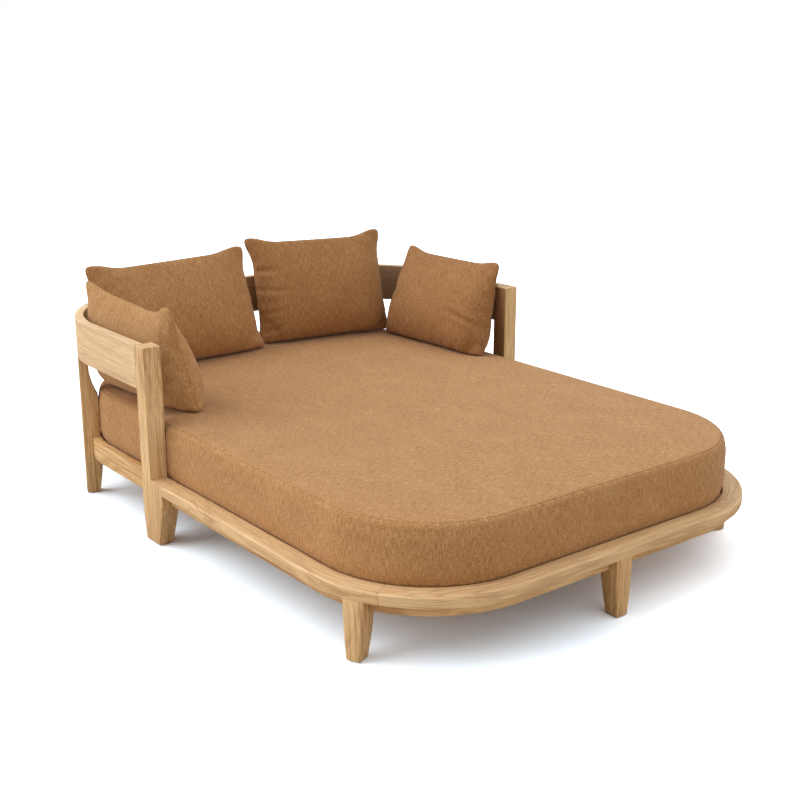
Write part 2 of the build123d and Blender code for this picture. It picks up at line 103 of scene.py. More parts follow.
class Paint:
    # Draws the node tree of a new material, or of the world when that is given.
    def __init__(self, name, world=None):
        self.owner = world or bpy.data.materials.new(name)
        self.owner.use_nodes = True
        self.tree = self.owner.node_tree
        self.tree.nodes.clear()

    def node(self, kind, settings, values, out=0):
        values = {key: value.socket if isinstance(value, Wire) else value
                  for key, value in values.items()}
        made = addNode(self.tree, kind, settings, values)
        return Wire(self, findSocket(made.outputs, out)) if made.outputs else None

    def other(self, wire, key):
        return Wire(self, findSocket(wire.socket.node.outputs, key))

    def math(self, operation, *terms):
        values = {number: term for number, term in enumerate(terms)}
        return self.node("ShaderNodeMath", {"operation": operation}, values)

    def place(self):
        return self.node("ShaderNodeTexCoord", {}, {}, "Object")

    def vector(self, x, y, z):
        return self.node("ShaderNodeCombineXYZ", {}, {"X": x, "Y": y, "Z": z})

    def parts(self, wire):
        split = self.node("ShaderNodeSeparateXYZ", {}, {0: wire})
        return split, self.other(split, "Y"), self.other(split, "Z")

    def mix(self, factor, first, second):
        values = {"Factor_Float": factor, "A_Color": first, "B_Color": second}
        return self.node("ShaderNodeMix", {"data_type": "RGBA"}, values, "Result_Color")

    def noise(self, place, scale, detail, roughness=0.5):
        values = {"Vector": place, "Scale": scale, "Detail": detail, "Roughness": roughness}
        return self.node("ShaderNodeTexNoise", {}, values, "Fac")

    def layer(self, places, values, shift):
        # A noise from a table: each place is scaled, and moved with the seed where it says so.
        parts = []
        for place, scale, moves in zip(places, values["scale"], values["shift"]):
            part = place * scale
            parts.append(part + moves * shift if moves else part)
        return self.noise(self.vector(*parts), 1.0, values["detail"], values.get("roughness", 0.5))

    def spread(self, wire, low, high, newLow=0.0, newHigh=1.0):
        values = {0: wire, 1: low, 2: high, 3: newLow, 4: newHigh}
        return self.node("ShaderNodeMapRange", {"interpolation_type": "SMOOTHSTEP"}, values)

    def finish(self, tone, roughness, height, bump, fixed):
        raised = self.node("ShaderNodeBump", {}, {
            "Strength": bump[0], "Distance": bump[1], "Height": height})
        values = {"Base Color": tone, "Roughness": roughness, "Normal": raised, **fixed}
        surface = self.node("ShaderNodeBsdfPrincipled", {}, values)
        self.node("ShaderNodeOutputMaterial", {}, {"Surface": surface})
        return self.owner


def colour(red, green, blue):
    # From a colour as seen on screen to the linear one that shaders work with.
    channels = []
    for part in (red, green, blue):
        part = part / 255
        channels.append(part / 12.92 if part <= 0.04045 else ((part + 0.055) / 1.055) ** 2.4)
    return (*channels, 1.0)


# Camera: solved from the outline of the ring, the legs and the posts.
camera = {
    "place": (-2.5482, -3.2938, 1.6281),
    "heading": 38.1325,
    "pitch": 16.4673,
    "roll": 0.064,
    "lens": 57.13,
    "sensor": 36.0,
}


def makeCamera():
    data = bpy.data.cameras.new("camera")
    data.lens = camera["lens"]
    data.sensor_width = camera["sensor"]
    body = addObject("camera", data)
    turn = Matrix.Rotation(math.radians(-camera["heading"]), 4, "Z")
    tip = Matrix.Rotation(math.radians(90 - camera["pitch"]), 4, "X")
    roll = Matrix.Rotation(math.radians(camera["roll"]), 4, "Z")
    body.matrix_world = Matrix.Translation(camera["place"]) @ turn @ tip @ roll
    scene.camera = body


# Light: an even white dome, a wide key from the left and behind, a fill from the right.
light = {
    "dome": 0.30,
    "key": {"strength": 0.75, "toward": (-0.68, 0.50, 0.60), "spread": 60},
    "fill": {"strength": 0.44, "toward": (0.66, -0.72, 0.36), "spread": 140},
    "top": {"strength": 0.16, "toward": (0.0, 0.0, 1.0), "spread": 90},
    # The floor as the camera sees it: whitened and tinted blue to cancel the warm bounce in the
    # shadow, and brighter toward the right, painted light that lifts the object's shadow there. The
    # last colour is what the floor bounces.
    "floorLeft": (1.40, 1.57, 1.73, 1.0),
    "floorRightPaintedLight": (1.84, 1.94, 2.04, 1.0),
    "floorReal": (0.60, 0.53, 0.46, 1.0),
    "floorPaintedLightBlend": (-0.25, 0.40),
    "floorReach": 30.0,
}


def makeWorld():
    scene.world = bpy.data.worlds.new("world")
    paint = Paint("world", scene.world)
    rays = paint.node("ShaderNodeLightPath", {}, {}, "Is Camera Ray")
    gloss = paint.other(rays, "Is Glossy Ray") + paint.other(rays, "Is Transmission Ray")
    settings = {"operation": "ADD", "use_clamp": True}
    seen = paint.node("ShaderNodeMath", settings, {0: rays, 1: gloss})
    values = {"Value": seen, "To Min": light["dome"], "To Max": 1.0}
    level = paint.node("ShaderNodeMapRange", {}, values)
    sky = paint.node("ShaderNodeBackground", {}, {"Color": (1.0, 1.0, 1.0, 1.0), "Strength": level})
    paint.node("ShaderNodeOutputWorld", {}, {"Surface": sky})


def makeLamp(name, values):
    data = bpy.data.lights.new(name, "SUN")
    data.energy = values["strength"] * math.pi
    data.angle = math.radians(values["spread"])
    lamp = addObject(name, data)
    lamp.rotation_euler = Vector(values["toward"]).to_track_quat("Z", "Y").to_euler()


def makeFloor():
    paint = Paint("paleFloor")
    seen = paint.node("ShaderNodeLightPath", {}, {}, "Is Camera Ray")
    x = paint.parts(paint.place())[0]
    # Painted light: the seen floor brightens from left to right, lightening the shadow on the right.
    pale = paint.mix(paint.spread(x, *light["floorPaintedLightBlend"]), light["floorLeft"], light["floorRightPaintedLight"])
    tone = paint.mix(seen, light["floorReal"], pale)
    diffuse = paint.node("ShaderNodeBsdfDiffuse", {}, {"Color": tone})
    paint.node("ShaderNodeOutputMaterial", {}, {"Surface": diffuse})
    reach = light["floorReach"]
    mesh = bpy.data.meshes.new("floor")
    corners = [(-reach, -reach, 0), (reach, -reach, 0), (reach, reach, 0), (-reach, reach, 0)]
    mesh.from_pydata(corners, [], [(0, 1, 2, 3)])
    mesh.materials.append(paint.owner)
    floor = addObject("floor", mesh)


scene.view_settings.view_transform = "Standard"
makeCamera()
makeWorld()
for lampName in ("key", "fill", "top"):
    makeLamp(lampName, light[lampName])
makeFloor()
print("camera, lights and floor ready")


# Timber finish: light honey teak, with painted shade on inner faces that sit beside the pillows.
# Colours as seen, spreads as the limits of each mask.
teak = {
    "pale": (234, 199, 144),
    "warm": (212, 164, 104),
    "line": (164, 112, 60),
    "pore": (118, 76, 40),
    # Painted shade: the dark brown laid over inner faces for the shade that falls on them.
    "paintedShade": (78, 34, 11),
    "bleached": (252, 230, 200),
    "tanned": (172, 104, 46),
    "seedShift": 1.37, "slope": 0.02, "wander": 0.03,
    "warmSpread": (0.3, 0.72), "warmDepth": 0.44,
    "heartAcross": (0.10, 0.05, 2.1), "heartUp": (0.16, 0.06, 1.3),
    "ringSway": 0.07, "ringPatch": (0.25, 0.8, 0.35, 1.0),
    "archTurns": 130.0, "archPatch": (0.44, 0.66),
    # Strength and softness of the painted shade on inner faces.
    "innerPaintedShade": 0.64, "paintedShadeBlend": 0.003,
    "fibreRoughness": (0.3, 0.8, 0.44, 0.60),
    "relief": {"fibre": 0.6, "ring": -0.3, "pore": -0.6},
    "bump": (0.28, 0.0007), "specular": 0.28,
}
# Layers of grain. Scales are per metre: along, across and up the board, but for the rings and
# figures they are out from the heart, along the board, and the board's own seed.
grain = {
    "wander": {"scale": (3.1, 6.0, 6.0), "shift": (1, 0, 0), "detail": 2.0},
    "sway": {"scale": (1.5, 9.0, 9.0), "shift": (1, 1, 0), "detail": 2.0},
    "patch": {"scale": (2.2, 22.0, 22.0), "shift": (0, 1, -1), "detail": 3.0},
    "ring": {"scale": (190.0, 1.1, 1.0), "shift": (0, 1, 0), "detail": 2.0, "roughness": 0.55,
             "spread": (0.50, 0.61), "depth": 0.56},
    "figure": {"scale": (34.0, 0.9, 1.0), "shift": (0, -1, 0), "detail": 2.0,
               "spread": (0.50, 0.70), "depth": 0.16},
    "arch": {"scale": (0.7, 8.0, 8.0), "shift": (1, 0, -1), "detail": 1.0,
             "spread": (0.30, 0.96), "depth": 0.55},
    "streak": {"scale": (3.6, 210.0, 210.0), "shift": (-1, 1, 0), "detail": 3.0, "roughness": 0.6,
               "spread": (0.52, 0.66), "depth": 0.62},
    "fibre": {"scale": (10.0, 340.0, 340.0), "shift": (1, 0, 0), "detail": 3.0, "roughness": 0.65,
              "spread": (0.46, 0.68), "depth": 0.52},
    "pore": {"scale": (34.0, 520.0, 520.0), "shift": (0, 1, 0), "detail": 1.0,
             "spread": (0.66, 0.76), "depth": 0.50},
}


def followOutline(paint, x, y):
    # Distance along the rounded outline and distance in from it, for any point of the plan.
    foot, head = outline["footRadius"], outline["headRadius"]
    headEnd = paint.math("GREATER_THAN", y, 0.0)
    radius = headEnd * (head - foot) + foot
    straight = outline["halfLength"] - radius
    pastX = paint.math("ABSOLUTE", x) - (outline["halfWidth"] - radius)
    pastY = paint.math("ABSOLUTE", y) - straight
    cornerX = paint.math("MAXIMUM", pastX, 0.0)
    cornerY = paint.math("MAXIMUM", pastY, 0.0)
    bend = radius * paint.math("ARCTAN2", cornerY, cornerX)
    run = paint.math("MINIMUM", pastY, 0.0) + straight + bend
    run = run - paint.math("MINIMUM", pastX, 0.0)
    along = run * (headEnd * 2.0 - 1.0)
    inset = radius - paint.math("SQRT", cornerX * cornerX + cornerY * cornerY)
    return along, inset


def ringReach(paint, across, up, sway, seed):
    # Distance out from a heart that lies outside the board.
    middle, swing, turn = teak["heartAcross"]
    fromAcross = across + (middle + swing * math.sin(seed * turn))
    middle, swing, turn = teak["heartUp"]
    fromUp = up - (middle + swing * math.cos(seed * turn))
    return paint.math("SQRT", fromAcross * fromAcross + fromUp * fromUp) + sway * teak["ringSway"]


# A board that leans to no tone.
plainBoard = ("bleached", 0.0)


def teakMaterial(name, way, seed, paintedShadeStart=None, board=plainBoard):
    # How far in from the outline the inner face starts to darken: painted shade, standing for the
    # shade the pillows cast there.
    # board: the tone that this board leans to, and how far.
    paint = Paint(name)
    x, y, z = paint.parts(paint.place())
    run, inset = followOutline(paint, x, y)
    if way == "outline":
        along, across, up = run, inset, z + x * teak["slope"]
    elif way == "upright":
        along, across, up = z, x, y
    elif way == "sideways":
        along, across, up = x, y, z
    else:
        along, across, up = y, x, z
    shift = seed * teak["seedShift"]
    up = up + paint.layer((along, across, up), grain["wander"], shift) * teak["wander"]
    axes = (along, across, up)
    found = {key: paint.layer(axes, grain[key], shift)
             for key in ("sway", "patch", "arch", "streak", "fibre", "pore")}
    reach = ringReach(paint, across, up, found["sway"], seed)
    for key in ("ring", "figure"):
        found[key] = paint.layer((reach, along, seed), grain[key], shift)
    # The arches show where the board cuts the rings at a flat angle.
    found["arch"] = paint.math("SINE", found["arch"] * teak["archTurns"])
    masks = {key: paint.spread(found[key], *grain[key]["spread"])
             for key in ("ring", "figure", "arch", "streak", "fibre", "pore")}
    ring = masks["ring"]
    masks["ring"] = ring * paint.spread(found["patch"], *teak["ringPatch"])
    masks["arch"] = masks["arch"] * paint.spread(found["patch"], *teak["archPatch"])
    tone = paint.mix(paint.spread(found["patch"], *teak["warmSpread"]) * teak["warmDepth"],
                     colour(*teak["pale"]), colour(*teak["warm"]))
    for key, mask in masks.items():
        dark = colour(*teak["pore" if key == "pore" else "line"])
        tone = paint.mix(mask * grain[key]["depth"], tone, dark)
    tone = paint.mix(board[1], tone, colour(*teak[board[0]]))
    # Painted shade: past the start, the inner face is mixed toward the dark shade colour.
    if paintedShadeStart:
        inner = paint.spread(inset, paintedShadeStart, paintedShadeStart + teak["paintedShadeBlend"])
        tone = paint.mix(inner * teak["innerPaintedShade"], tone, colour(*teak["paintedShade"]))
    rough = paint.spread(found["fibre"], *teak["fibreRoughness"])
    relief = teak["relief"]
    height = found["fibre"] * relief["fibre"] + ring * relief["ring"] + masks["pore"] * relief["pore"]
    return paint.finish(tone, rough, height, teak["bump"], {"Specular IOR Level": teak["specular"]})


# Edges are eased by a small round, which also draws a fine line where boards meet.
easing = {
    "width": 0.0022, "segments": 2, "sharpAngle": 32, "shortest": 0.0045,
    "merge": 0.00002, "flatAngle": 0.006,
}


def plainMesh(piece, name):
    bpy.context.view_layer.update()
    graph = bpy.context.evaluated_depsgraph_get()
    mesh = bpy.data.meshes.new_from_object(piece.evaluated_get(graph))
    mesh.name = name
    return mesh


def easedCopy(nodeName):
    source = nodes[nodeName]
    mesh = source.data.copy()
    work = bmesh.new()
    work.from_mesh(mesh)
    bmesh.ops.remove_doubles(work, verts=work.verts, dist=easing["merge"])
    bmesh.ops.dissolve_limit(
        work, angle_limit=easing["flatAngle"], verts=work.verts, edges=work.edges)
    weight = work.edges.layers.float.new("bevel_weight_edge")
    for edge in work.edges:
        if len(edge.link_faces) != 2 or edge.calc_length() < easing["shortest"]:
            continue
        if edge.calc_face_angle() > math.radians(easing["sharpAngle"]):
            edge[weight] = 1.0
    work.to_mesh(mesh)
    work.free()
    piece = addObject(nodeName + "_eased", mesh)
    bevel = piece.modifiers.new("ease", "BEVEL")
    bevel.limit_method = "WEIGHT"
    bevel.width = easing["width"]
    bevel.segments = easing["segments"]
    bevel.use_clamp_overlap = False
    piece.data = plainMesh(piece, nodeName + "_eased")
    piece.modifiers.clear()
    piece.data.shade_smooth()
    piece.data.set_sharp_from_angle(angle=math.radians(easing["sharpAngle"]))
    return piece


def dress(nodeName, material):
    piece = easedCopy(nodeName)
    piece.data.materials.clear()
    piece.data.materials.append(material)
    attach(piece, "frame")
    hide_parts(nodeName)


timber = {
    "outline": ["side_cap", "head_cap", "foot_apron", "head_apron", "foot_cleat", "head_cleat"],
    "upright": ["foot_leg", "arm_post", "head_post"],
    "middle": {"foot_cap": "outline", "foot_centre_leg": "upright", "head_centre_post": "upright"},
    "boards": {"side_cap": ("bleached", 0.15), "foot_cap": ("bleached", 0.15),
               "foot_apron": ("bleached", 0.05), "foot_centre_leg": ("tanned", 0.16),
               "arm_post": ("bleached", 0.09), "foot_leg": ("bleached", 0.10),
               "head_post": ("bleached", 0.05)},
    # The arm posts' inner faces get painted shade, for the shade beside the pillows.
    "paintedShadeStarts": {"arm_post": 0.0587},
}


def makeTimber():
    pieces = [(side + "_" + kind, kind, way) for way in ("outline", "upright")
              for kind in timber[way] for side in ("left", "right")]
    pieces += [(nodeName, nodeName, way) for nodeName, way in timber["middle"].items()]
    for seed, (nodeName, kind, way) in enumerate(pieces, 1):
        paintedShadeStart = timber["paintedShadeStarts"].get(kind)
        board = timber["boards"].get(kind, plainBoard)
        dress(nodeName, teakMaterial("teak_" + nodeName, way, seed, paintedShadeStart, board))


makeTimber()
print("timber dressed")


# Deck: slats, spine and rails, seen when the mattress is lifted. Fittings: steel and plastic.
under = {
    "slatSeed": 31,
    "spineSeed": 33,
    "slatWood": [nodeName for nodeName in nodes if "slat" in nodeName and "screws" not in nodeName]
    + ["foot_cross_rail", "arm_cross_rail"],
    "spineWood": ["centre_beam", "band_dowels"],
    "steelNodes": ["leg_bolts", "cap_screws", "slat_screws", "angle_brackets", "bracket_screws"],
    "steel": {"dark": (168, 168, 166), "pale": (196, 196, 194), "speckle": (900.0, 3.0),
              "blend": (0.3, 0.7), "roughness": (0.3, 0.7, 0.28, 0.42), "bump": (0.15, 0.0002),
              "fixed": {"Metallic": 1.0}},
    "glide": {"dark": (34, 32, 30), "pale": (52, 49, 46), "speckle": (700.0, 2.0),
              "roughness": (0.3, 0.7, 0.55, 0.7), "bump": (0.2, 0.0002), "fixed": {}},
}


def speckledMaterial(name, values):
    paint = Paint(name)
    speckle = paint.noise(paint.place(), *values["speckle"])
    blend = paint.spread(speckle, *values["blend"]) if "blend" in values else speckle
    tone = paint.mix(blend, colour(*values["dark"]), colour(*values["pale"]))
    rough = paint.spread(speckle, *values["roughness"])
    return paint.finish(tone, rough, speckle, values["bump"], values["fixed"])


def paintNodes(names, material):
    for nodeName in names:
        mesh = nodes[nodeName].data
        mesh.materials.clear()
        mesh.materials.append(material)


paintNodes(under["slatWood"], teakMaterial("teak_slats", "sideways", under["slatSeed"]))
paintNodes(under["spineWood"], teakMaterial("teak_spine", "lengthways", under["spineSeed"]))
paintNodes(under["steelNodes"], speckledMaterial("fittingSteel", under["steel"]))
paintNodes(["leg_glides"], speckledMaterial("glidePlastic", under["glide"]))
print("deck and fittings painted")


# A small builder for geometry node trees.
class Tree:
    def __init__(self, name, inputs):
        self.group = bpy.data.node_groups.new(name, "GeometryNodeTree")
        self.keys = {}
        for label, kind, value in inputs:
            socket = self.group.interface.new_socket(label, in_out="INPUT", socket_type=kind)
            if value is not None:
                socket.default_value = value
            self.keys[label] = socket.identifier
        self.group.interface.new_socket("Geometry", in_out="OUTPUT", socket_type="NodeSocketGeometry")
        self.start = self.group.nodes.new("NodeGroupInput")
        self.end = self.group.nodes.new("NodeGroupOutput")

    def given(self, label):
        return self.start.outputs[label]

    def node(self, kind, settings, values):
        return addNode(self.group, kind, settings, values).outputs[0]

    def close(self, geometry):
        real = self.node("GeometryNodeRealizeInstances", {}, {"Geometry": geometry})
        values = {"Geometry": real, "Material": self.given("Finish")}
        dyed = self.node("GeometryNodeSetMaterial", {}, values)
        self.group.links.new(dyed, self.end.inputs[0])

    def apply(self, piece, values, name):
        modifier = piece.modifiers.new("nodes", "NODES")
        for label, value in values.items():
            modifier[self.keys[label]] = value
        modifier.node_group = self.group
        result = addObject(name, plainMesh(piece, name))
        bpy.data.objects.remove(piece)
        return result


# Arm and back band: a rounded board swept along the outline.
band = {
    "height": 0.146, "thickness": 0.032, "top": 0.655, "postBack": 0.299,
    "edgeRound": 0.0045, "edgeSteps": 4, "arcSteps": 28, "sharpAngle": 50,
    # The band's inner face gets painted shade, for the shade behind the pillows.
    "paintedShadeStart": 0.0285, "board": ("bleached", 0.32),
    "seeds": {"left_arm_band": 40, "right_arm_band": 42, "back_band": 45},
}


def pathObject(name, points, closed=False):
    mesh = bpy.data.meshes.new(name)
    links = [(number, number + 1) for number in range(len(points) - 1)]
    if closed:
        links.append((len(points) - 1, 0))
    mesh.from_pydata([tuple(point) for point in points], links, [])
    return addObject(name, mesh)


def bandTree():
    tree = Tree("sweptBoard", [
        ("Geometry", "NodeSocketGeometry", None),
        ("Board height", "NodeSocketFloat", band["height"]),
        ("Board thickness", "NodeSocketFloat", band["thickness"]),
        ("Edge round", "NodeSocketFloat", band["edgeRound"]),
        ("Finish", "NodeSocketMaterial", None),
    ])
    path = tree.node("GeometryNodeMeshToCurve", {}, {"Mesh": tree.given("Geometry")})
    level = tree.node("GeometryNodeSetCurveNormal", {"mode": "Z_UP"}, {"Curve": path})
    section = tree.node("GeometryNodeCurvePrimitiveQuadrilateral", {}, {
        "Width": tree.given("Board thickness"), "Height": tree.given("Board height")})
    eased = tree.node("GeometryNodeFilletCurve", {"mode": "POLY"}, {
        "Curve": section, "Count": band["edgeSteps"], "Radius": tree.given("Edge round")})
    swept = tree.node("GeometryNodeCurveToMesh", {}, {
        "Curve": level, "Profile Curve": eased, "Fill Caps": True})
    tree.close(swept)
    return tree


def makeBand():
    tree = bandTree()
    middle = band["thickness"] / 2
    level = band["top"] - band["height"] / 2
    radius = outline["headRadius"]
    centreX = outline["halfWidth"] - radius
    centreY = outline["halfLength"] - radius
    arc = [math.pi / 2 * step / band["arcSteps"] for step in range(band["arcSteps"] + 1)]
    for side, sign in (("left", -1), ("right", 1)):
        points = [(sign * (outline["halfWidth"] - middle), band["postBack"], level)]
        for angle in arc:
            points.append((sign * (centreX + (radius - middle) * math.cos(angle)),
                           centreY + (radius - middle) * math.sin(angle), level))
        finishBand(tree, side + "_arm_band", points)
    backY = outline["halfLength"] - middle
    finishBand(tree, "back_band", [(-centreX, backY, level), (centreX, backY, level)])


def finishBand(tree, nodeName, points):
    seed = band["seeds"][nodeName]
    finish = teakMaterial("teak_" + nodeName, "outline", seed, band["paintedShadeStart"], band["board"])
    path = pathObject(nodeName + "_path", points)
    piece = tree.apply(path, {"Finish": finish}, nodeName + "_board")
    tidyNormals(piece.data)
    piece.data.shade_smooth()
    piece.data.set_sharp_from_angle(angle=math.radians(band["sharpAngle"]))
    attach(piece, "frame")
    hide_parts(nodeName)


def tidyNormals(mesh):
    work = bmesh.new()
    work.from_mesh(mesh)
    bmesh.ops.remove_doubles(work, verts=work.verts, dist=easing["merge"])
    bmesh.ops.recalc_face_normals(work, faces=work.faces)
    work.to_mesh(mesh)
    work.free()


makeBand()
print("band swept")


# Cover cloth: heathered outdoor canvas, rust and straw threads.
canvas = {
    "light": (232, 194, 142),
    "straw": (206, 161, 107),
    "rust": (150, 97, 54),
    "deep": (108, 66, 36),
    "seedShift": 3.1,
    "heather": {"warp": 0.36, "weft": 0.28, "fleck": 0.36},
    "heatherSpread": (0.42, 0.58),
    "threadPitch": 0.0021,
    "threadRelief": 0.35,
    "roughness": 0.88,
    "bump": (0.45, 0.0010),
    "surface": {"Sheen Weight": 0.14, "Sheen Roughness": 0.4, "Specular IOR Level": 0.18},
}
# Layers of thread, in turns per metre across and along the cloth. The third scale is the seed's.
threads = {
    "warp": {"scale": (390.0, 34.0, 1.0), "shift": (1, 0, 0), "detail": 3.0, "roughness": 0.8},
    "weft": {"scale": (70.0, 520.0, 1.0), "shift": (0, 1, 0), "detail": 2.0, "roughness": 0.7},
    "fleck": {"scale": (560.0, 520.0, 3.1), "shift": (0, 0, 0), "detail": 2.0, "roughness": 0.8},
    "cloud": {"scale": (8.0, 8.0, 3.1), "shift": (0, 0, 0), "detail": 4.0, "roughness": 0.6},
}
# Tints laid over the heather in this order: layer, limits of the mask, depth, colour.
tints = [
    ("fleck", (0.56, 0.72), 0.55, "deep"),
    ("warp", (0.60, 0.74), 0.50, "light"),
    ("cloud", (0.48, 0.72), 0.08, "deep"),
    ("cloud", (0.52, 0.30), 0.07, "light"),
]


def canvasMaterial(name, seed, dyeAndPaintedLight):
    # Threads follow the piece's own cloth coordinates, in metres.
    # The cover's lean: a colour and how far the tone is mixed toward it. On the pillows this is
    # painted shade (deep) or painted light (light) for how light falls on each; on the mattress it is
    # a slight lift of its own tone.
    paint = Paint(name)
    u, v = paint.parts(paint.node("ShaderNodeUVMap", {"uv_map": "cloth"}, {}))[:2]
    shift = seed * canvas["seedShift"]
    found = {key: paint.layer((u, v, seed), values, shift) for key, values in threads.items()}
    shares = canvas["heather"]
    heather = found["warp"] * shares["warp"] + found["weft"] * shares["weft"]
    heather = heather + found["fleck"] * shares["fleck"]
    tone = paint.mix(paint.spread(heather, *canvas["heatherSpread"]),
                     colour(*canvas["rust"]), colour(*canvas["straw"]))
    for key, limits, depth, tint in tints:
        mask = paint.spread(found[key], *limits)
        tone = paint.mix(mask * depth, tone, colour(*canvas[tint]))
    # Painted light and shade on the pillows: the whole cover is mixed toward the deep or the light
    # colour.
    tone = paint.mix(dyeAndPaintedLight[1], tone, colour(*canvas[dyeAndPaintedLight[0]]))
    turn = 2 * math.pi / canvas["threadPitch"]
    weave = paint.math("SINE", u * turn) * paint.math("SINE", v * turn)
    height = weave * canvas["threadRelief"] + heather
    return paint.finish(tone, canvas["roughness"], height, canvas["bump"], canvas["surface"])


def setClothMap(mesh, places):
    # One pair of cloth coordinates for each corner of each face.
    layer = mesh.uv_layers.get("cloth") or mesh.uv_layers.new(name="cloth")
    layer.data.foreach_set("uv", np.array(places).ravel())


def loopPoints(inset, perStraight=36, perArc=30):
    # Points round the plan at this inset, the same number at every inset.
    points = []
    quarters = [
        (1, -1, "footRadius"), (1, 1, "headRadius"), (-1, 1, "headRadius"), (-1, -1, "footRadius"),
    ]
    for number, (signX, signY, radiusName) in enumerate(quarters):
        radius = max(outline[radiusName] - inset, 0.0)
        centre = (signX * (outline["halfWidth"] - inset - radius),
                  signY * (outline["halfLength"] - inset - radius))
        startAngle = -math.pi / 2 + number * math.pi / 2
        for step in range(perArc):
            angle = startAngle + math.pi / 2 * step / (perArc - 1)
            points.append((centre[0] + radius * math.cos(angle), centre[1] + radius * math.sin(angle)))
    # Straight stretches between the arcs.
    full = []
    for number in range(4):
        arc = points[number * perArc:(number + 1) * perArc]
        full += arc
        start = np.array(arc[-1])
        end = np.array(points[((number + 1) % 4) * perArc])
        for step in range(1, perStraight):
            full.append(tuple(start + (end - start) * step / perStraight))
    return np.array(full)


mattress = {
    "inset": 0.0655, "bottom": 0.2003, "height": 0.192, "crown": 0.008, "crownRun": 0.21,
    "edge": 0.024, "lowEdge": 0.021, "sideBulge": 0.0051, "bulgeFlat": 2.2,
    "underRows": (0.8, 0.6, 0.4, 0.25), "underNear": (0.06, 0.025),
    "lowEdgeRows": 5, "sideRows": 16, "edgeRows": 9, "seamStep": 5,
    "groove": ((0.045, 0.0022), (0.09, 0.0)),
    "topStart": 0.04, "topRows": 26, "topCrowding": 1.3,
    "sidePanelStart": 5, "borderRow": 12,
    "uneven": {"amount": 0.0012, "scale": 9.0, "seed": 5, "clear": 0.03, "grow": 0.05, "side": 0.3},
    "ridges": [(-0.62, 0.0022), (-0.17, 0.0026), (0.27, 0.0022)],
    "ridge": {"sway": 0.02, "wave": 3.0, "turn": 9, "width": 0.03},
    "postMiddle": 0.268, "postHalf": 0.036, "postInner": 0.7372,
    "postEase": 0.03, "postSpread": 0.02,
    "dyeAndPaintedLight": ("light", 0.05), "seed": 1.0,
}
# Soft random heights are a sum of this many waves, divided by calm.
softWaves = {"count": 14, "shortest": 0.6, "longest": 1.6, "calm": 5.0}


def mattressTop(x, y):
    # Height of the top of the mattress over a point of the plan.
    inset = insetOf(x, y) - mattress["inset"] - mattress["edge"]
    share = np.clip(inset / mattress["crownRun"], 0.0, 1.0)
    rise = 1 - (1 - share) ** 2
    return mattress["bottom"] + mattress["height"] + mattress["crown"] * rise


def insetOf(x, y):
    # Distance in from the outline.
    radius = np.where(y > 0, outline["headRadius"], outline["footRadius"])
    pastX = np.maximum(np.abs(x) - (outline["halfWidth"] - radius), 0.0)
    pastY = np.maximum(np.abs(y) - (outline["halfLength"] - radius), 0.0)
    inner = np.minimum(outline["halfWidth"] - np.abs(x), outline["halfLength"] - np.abs(y))
    return np.where((pastX > 0) & (pastY > 0), radius - np.hypot(pastX, pastY), inner)


def smoothNoise(points, scale, seed):
    # A soft random height for each point, from a few waves of fixed random directions.
    rng = np.random.default_rng(seed)
    total = np.zeros(len(points))
    for wave in range(softWaves["count"]):
        way = rng.normal(size=3)
        way = way / np.linalg.norm(way)
        phase = rng.uniform(0, 2 * math.pi)
        pace = scale * rng.uniform(softWaves["shortest"], softWaves["longest"])
        total += np.sin(points @ way * pace + phase)
    return total / softWaves["calm"]


def mattressProfile():
    # (inset, height) from the middle of the underside, round the edge, to the crown. The top's
    # rows have None for a height: they follow mattressTop.
    inset = mattress["inset"]
    low = mattress["bottom"]
    edge = mattress["edge"]
    lowEdge = mattress["lowEdge"]
    rows = [(far, low) for far in mattress["underRows"]]
    rows += [(inset + near, low) for near in mattress["underNear"]]
    for angle in np.linspace(0, math.pi / 2, mattress["lowEdgeRows"]):
        rows.append((inset + lowEdge * (1 - math.sin(angle)), low + lowEdge * (1 - math.cos(angle))))
    sideLow = low + lowEdge
    sideHigh = low + mattress["height"] - edge
    for step in range(1, mattress["sideRows"]):
        share = step / mattress["sideRows"]
        swell = min(1.0, mattress["bulgeFlat"] * math.sin(math.pi * share))
        rows.append((inset - mattress["sideBulge"] * swell, sideLow + (sideHigh - sideLow) * share))
    for step, angle in enumerate(np.linspace(0, math.pi / 2, mattress["edgeRows"])):
        rows.append((inset + edge * (1 - math.cos(angle)), sideHigh + edge * math.sin(angle)))
        if step == mattress["seamStep"]:
            # The seam where side and top are sewn: a narrow groove.
            for turned, sunk in mattress["groove"]:
                reach = edge - sunk
                rows.append((inset + edge - reach * math.cos(angle + turned),
                             sideHigh + reach * math.sin(angle + turned)))
    inner = outline["halfWidth"] - inset - edge
    for share in np.linspace(mattress["topStart"], 1, mattress["topRows"]):
        rows.append((inset + edge + inner * share ** mattress["topCrowding"], None))
    return rows


def mattressLift(points, top):
    # Slight unevenness all over, and soft ridges across the top.
    uneven = mattress["uneven"]
    ridge = mattress["ridge"]
    grown = np.clip((points[:, 2] - mattress["bottom"] - uneven["clear"]) / uneven["grow"], 0, 1)
    lift = smoothNoise(points, uneven["scale"], uneven["seed"]) * uneven["amount"] * grown
    for place, rise in mattress["ridges"]:
        sway = ridge["sway"] * np.sin(points[:, 0] * ridge["wave"] + place * ridge["turn"])
        lift += top * rise * np.exp(-((points[:, 1] - place - sway) / ridge["width"]) ** 2)
    return lift * np.where(top, 1.0, uneven["side"])


